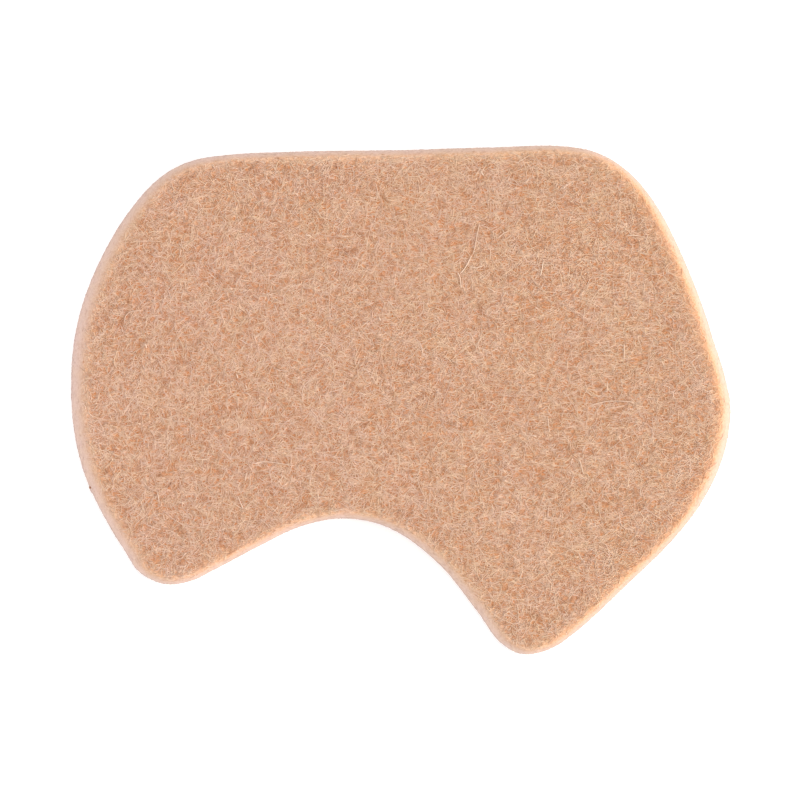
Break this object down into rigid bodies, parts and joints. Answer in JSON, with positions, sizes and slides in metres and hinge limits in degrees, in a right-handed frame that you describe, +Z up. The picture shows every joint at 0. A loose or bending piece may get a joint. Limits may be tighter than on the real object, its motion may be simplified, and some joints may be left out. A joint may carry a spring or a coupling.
{
  "type": "metatarsal pad",
  "caption": "Flat pad of thick pressed felt with one long straight side, two rounded lobes of different length and a curved cut-out between them.",
  "frame": {"origin": "middle of the pad's box, on its flat underside", "axes": "+X along the pad's length towards the longer lobe's side, +Y across it towards the long straight side, +Z up out of the face"},
  "size_m": [0.084, 0.0648, 0.005],
  "materials": {
    "felt": "matt pressed felt, beige pink, with a mottled mat of fibres"
  },
  "bodies": {
    "root": {"felt_pad": "felt"}
  },
  "joints": []
}
